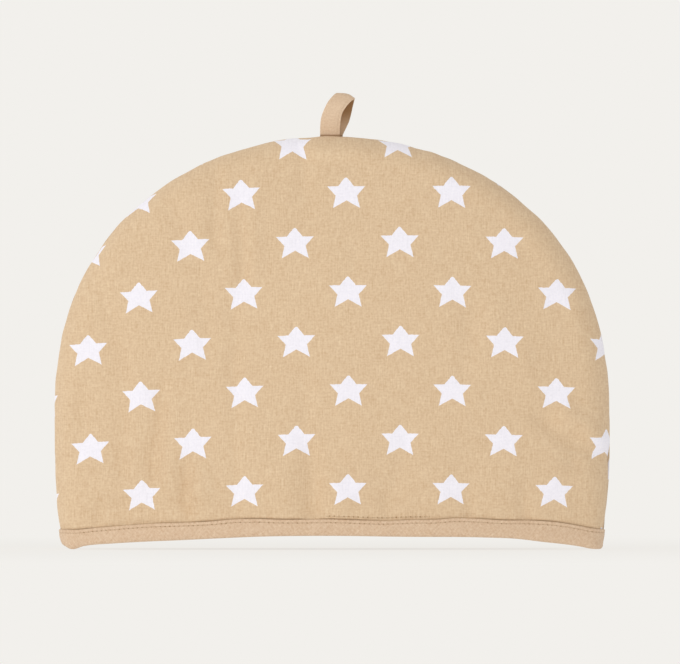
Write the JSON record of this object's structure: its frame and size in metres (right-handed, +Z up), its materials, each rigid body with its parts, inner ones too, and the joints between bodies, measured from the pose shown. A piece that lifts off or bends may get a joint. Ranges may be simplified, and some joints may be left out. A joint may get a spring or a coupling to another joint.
{
  "type": "padded tea cosy",
  "caption": "Padded fabric tea cosy with a dome outline, star print, bound hem and a tape loop at the top, open underneath to cover a teapot.",
  "frame": {"origin": "bottom centre of the bounding box: on the surface the hem stands on, midway between the two side seams", "axes": "+Z up towards the hanging loop; +X along the seam plane from the left seam to the right seam as the front panel is faced; the front panel faces -Y"},
  "size_m": [0.35, 0.0956, 0.2876],
  "materials": {
    "printed_cotton": "plain-weave cotton over wadding, beige with white printed stars, matt",
    "binding_cotton": "plain-weave cotton strip, beige, matt, top-stitched",
    "tape_cotton": "folded plain-weave cotton tape, beige, matt"
  },
  "bodies": {
    "root": {"front_panel": "printed_cotton", "back_panel": "printed_cotton", "hem_binding": "binding_cotton", "hanging_loop": "tape_cotton"}
  },
  "joints": []
}
